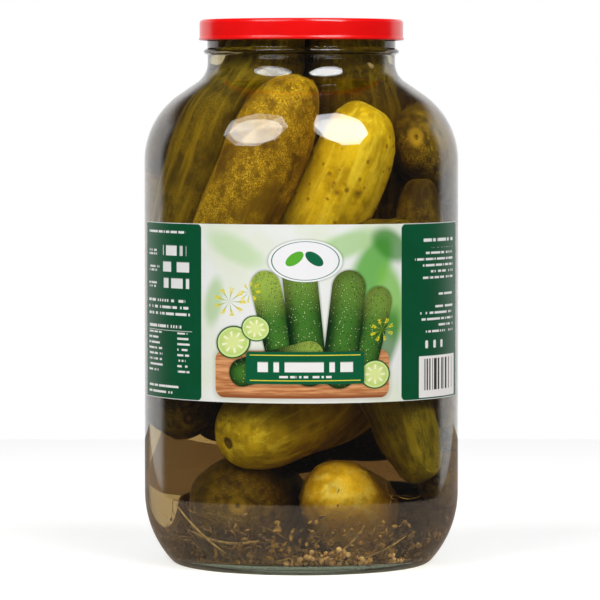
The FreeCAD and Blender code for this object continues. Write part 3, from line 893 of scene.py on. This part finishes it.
picture = art.paint(ribbon.rise(1.6, -0.4) * 0.5, picture, (0.03, 0.02, 0.01))
picture = art.paint(ribbon.inside(), picture, (0.001, 0.105, 0.040))
for low in (11.0, 23.6):
    picture = art.paint(art.plate(-26, 30, low, low + 0.45, 0.1).inside(), picture, (0.80, 0.70, 0.05))
picture = art.rows(picture, (0.84, 0.84, 0.84), 15.4, 21.4, 9.0, 4.9, -22, 26, 0.0, 0.36, 31)
picture = art.rows(picture, (0.84, 0.84, 0.84), 12.5, 14.4, 4.0, 1.1, -11, 15, 0.0, 0.9, 77)
label.data.materials.append(art.printed(picture))

text = Ink("label_ends")
shade = text.noise(text.at, 0.05, 2.0, 0.5)
panel = text.paint(shade.rise(0.3, 0.7), (0.001, 0.078, 0.028), (0.001, 0.088, 0.034))
white = (0.80, 0.82, 0.82)
for low, high, pitch, tall, left, right, ragged, density, seed in (
        (83.2, 85.0, 4.0, 1.2, -103, -62, 3, 0.9, 3),
        (55.6, 80.0, 8.2, 5.0, -84, -60, 5, 0.42, 11),
        (57.4, 82.0, 8.2, 1.0, -103, -88, 4, 1.0, 17),
        (55.6, 79.0, 8.2, 1.0, -103, -90, 3, 1.0, 19),
        (42.0, 51.8, 3.3, 1.35, -103, -60, 6, 0.8, 23),
        (35.6, 37.5, 4.0, 1.5, -103, -66, 2, 0.9, 29),
        (13.5, 33.6, 2.75, 1.05, -103, -84, 6, 0.9, 37),
        (13.5, 33.6, 2.75, 1.05, -71, -61, 4, 0.8, 41),
        (2.6, 8.0, 3.0, 1.15, -103, -68, 8, 0.9, 43)):
    panel = text.rows(panel, white, low, high, pitch, tall, left, right, ragged, density, seed)
for low, high, pitch, tall, left, right, ragged, density, seed in (
        (79.0, 81.0, 4.0, 1.6, 68, 101, 4, 0.8, 47),
        (60.4, 76.0, 3.1, 1.15, 62, 101, 16, 0.9, 53),
        (52.0, 54.0, 4.0, 1.15, 82, 101, 3, 0.9, 59),
        (33.4, 48.8, 3.1, 1.15, 66, 101, 18, 0.9, 61)):
    panel = text.rows(panel, white, low, high, pitch, tall, left, right, ragged, density, seed, "right")
for middle in (72.0, 79.0, 86.0):
    panel = text.paint(text.plate(middle - 1.2, middle + 1.2, 25.6, 29.6, 0.8).inside(), panel, white)
panel = text.paint(text.plate(-103, -60, 34.2, 34.45, 0.1).inside(), panel, white)
panel = text.paint(text.plate(65.9, 103.6, 1.0, 21.8, 0.5).inside(), panel, (0.84, 0.84, 0.84))
bars = text.add("ShaderNodeTexWhiteNoise", {"noise_dimensions": "1D"}, {"W": (text.u * 1.9).floor()})
bar_box = text.plate(69.5, 100.0, 4.6, 20.4, 0.1).inside()
panel = text.paint(bar_box * bars.rise(0.50, 0.52), panel, (0.01, 0.01, 0.01))
for left, right in ((-200, -half_picture), (half_picture, 200)):
    corner = text.plate(left, right, 0.3, label_tall - 0.3, 2.5)
    near = text.plate(left, right, -5, label_tall + 5, 0.1)
    panel = text.paint(corner.rise(-0.15, 0.15) * near.inside(), panel, (0.80, 0.83, 0.82))
label.data.materials.append(text.printed(panel))

plain = Ink("label_back")
label.data.materials.append(plain.printed(plain.paint(plain.v.rise(0, label_tall), (0.78, 0.78, 0.75),
                                                      (0.80, 0.80, 0.78))))
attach(label, "root")
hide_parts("label")

# ---------------------------------------------------------------- floor, lamps and camera
# A pale table that is round in front of the jar and ends behind it, a white backdrop, and two octagonal
# softboxes above the front on the left and on the right.

front_radius, back_half, back_edge = 0.37, 0.55, 0.80
edge_turn = np.linspace(math.pi, 2 * math.pi, 65)
edge = [(front_radius * math.cos(turn), front_radius * math.sin(turn), 0.0) for turn in edge_turn]
edge += [(back_half, back_edge, 0.0), (-back_half, back_edge, 0.0)]
table = bpy.data.meshes.new("table")
table.from_pydata(edge, [], [tuple(range(len(edge)))])
floor = bpy.data.objects.new("table", table)
bpy.context.scene.collection.objects.link(floor)
white_top = Finish("white_table")
matt = white_top.add("ShaderNodeBsdfDiffuse", {}, {"Color": (0.80, 0.80, 0.80)})
# For the camera the table is white with a faint glow. Every other ray sees it in a darker, browner colour.
# This is painted shadow of the jar on the table behind it, as seen through the glass, and an even darker
# painted shade in reflections.
mirrored = white_top.add("ShaderNodeLightPath", {}, {}, output="Is Glossy Ray")
shaded = white_top.add("ShaderNodeBsdfDiffuse", {}, {
    "Color": white_top.paint(mirrored, (0.66, 0.57, 0.49), (0.44, 0.35, 0.28))})
glow = white_top.add("ShaderNodeEmission", {}, {"Color": (1, 1, 1), "Strength": 0.35})
seen = white_top.add("ShaderNodeLightPath", {}, {}, output="Is Camera Ray")
both = white_top.add("ShaderNodeAddShader", {}, {0: matt, 1: glow})
table.materials.append(white_top.close(
    white_top.add("ShaderNodeMixShader", {}, {0: seen, 1: shaded, 2: both})))

jar_middle = np.array([0.0, 0.0, 0.16])
away, lamp_across, lamp_watts = 1.6, 1.0, 14.5
box_half_tall, box_depth, brightest = 0.70, 0.1, 1.2
for side, azimuth, elevation, wide, luminance, folds in (
        ("left", -42.0, 44.0, 0.60, 6.0, (1.0, 0.50, 0.75, 1.15, 0.60, 1.2, 0.85, 0.50)),
        ("right", 37.0, 46.0, 0.47, 12.0, (1.0, 0.95, 1.0, 1.05, 1.0, 0.95, 1.05, 1.0))):
    turn, lift = math.radians(azimuth), math.radians(elevation)
    aim = np.array([math.sin(turn) * math.cos(lift), -math.cos(turn) * math.cos(lift), math.sin(lift)])
    across = np.array([math.cos(turn), math.sin(turn), 0.0])
    upward = np.cross(across, -aim)
    place = jar_middle + away * aim
    lamp = bpy.data.lights.new("lamp_" + side, "AREA")
    lamp.shape = "DISK"
    lamp.size = lamp_across
    lamp.energy = lamp_watts
    holder = bpy.data.objects.new("lamp_" + side, lamp)
    bpy.context.scene.collection.objects.link(holder)
    stand = [[across[k], upward[k], aim[k], place[k]] for k in range(3)] + [[0, 0, 0, 1]]
    holder.matrix_world = mathutils.Matrix(stand)
    holder.visible_glossy = False
    corner = np.radians(np.arange(9) * 45 + 22.5)
    rim = place + wide * np.cos(corner)[:, None] * across + box_half_tall * np.sin(corner)[:, None] * upward
    gore = np.stack([rim[:8], rim[1:], np.repeat(place[None] - box_depth * aim, 8, axis=0)], axis=1)
    panel = bpy.data.meshes.new("softbox_" + side)
    panel.from_pydata(gore.reshape(-1, 3).tolist(), [], np.arange(24).reshape(8, 3).tolist())
    fold = panel.attributes.new("fold", "FLOAT", "POINT")
    fold.data.foreach_set("value", np.repeat(folds, 3).astype(np.float32))
    box = bpy.data.objects.new("softbox_" + side, panel)
    bpy.context.scene.collection.objects.link(box)
    shine = Finish("softbox_" + side)
    gore_light = shine.add("ShaderNodeAttribute", {"attribute_name": "fold"}, {}, output="Fac")
    panel.materials.append(shine.close(shine.add("ShaderNodeEmission", {}, {
        "Color": shine.paint(gore_light / brightest, (0, 0, 0), (0.98, 0.98, 1.0)),
        "Strength": brightest * luminance})))
    box.visible_camera = box.visible_diffuse = box.visible_transmission = box.visible_shadow = False

world = bpy.data.worlds.new("studio")
bpy.context.scene.world = world
world.use_nodes = True
sky = Finish("sky", world.node_tree)
looking = sky.add("ShaderNodeTexCoord", {}, {}, output="Generated")
onward = sky.add("ShaderNodeSeparateXYZ", {}, {0: looking}, output="Y")
skyward = sky.add("ShaderNodeSeparateXYZ", {}, {0: looking}, output="Z")
backdrop = onward.rise(0.50, 0.62) * skyward.rise(0.48, 0.30)
glossy = sky.add("ShaderNodeLightPath", {}, {}, output="Is Glossy Ray")
bounced = sky.add("ShaderNodeLightPath", {}, {}, output="Diffuse Depth")
dark_studio, less_fill = 0.96, 0.6
strength = 1 - glossy * (1 - backdrop) * dark_studio
strength = strength * (1 - bounced.least(1.0) * less_fill)
sky.add_output({"Surface": sky.add("ShaderNodeBackground", {}, {"Color": (1, 1, 1), "Strength": strength})},
               "ShaderNodeOutputWorld")

looks_down = 2.66
camera = bpy.data.cameras.new("camera")
camera.lens = 258.0
camera.sensor_width = 36.0
eye = bpy.data.objects.new("camera", camera)
bpy.context.scene.collection.objects.link(eye)
eye.location = (-0.0007, -2.2, 0.237)
eye.rotation_euler = (math.radians(90 - looks_down), 0, 0)
bpy.context.scene.camera = eye
bpy.context.scene.view_settings.view_transform = "Standard"
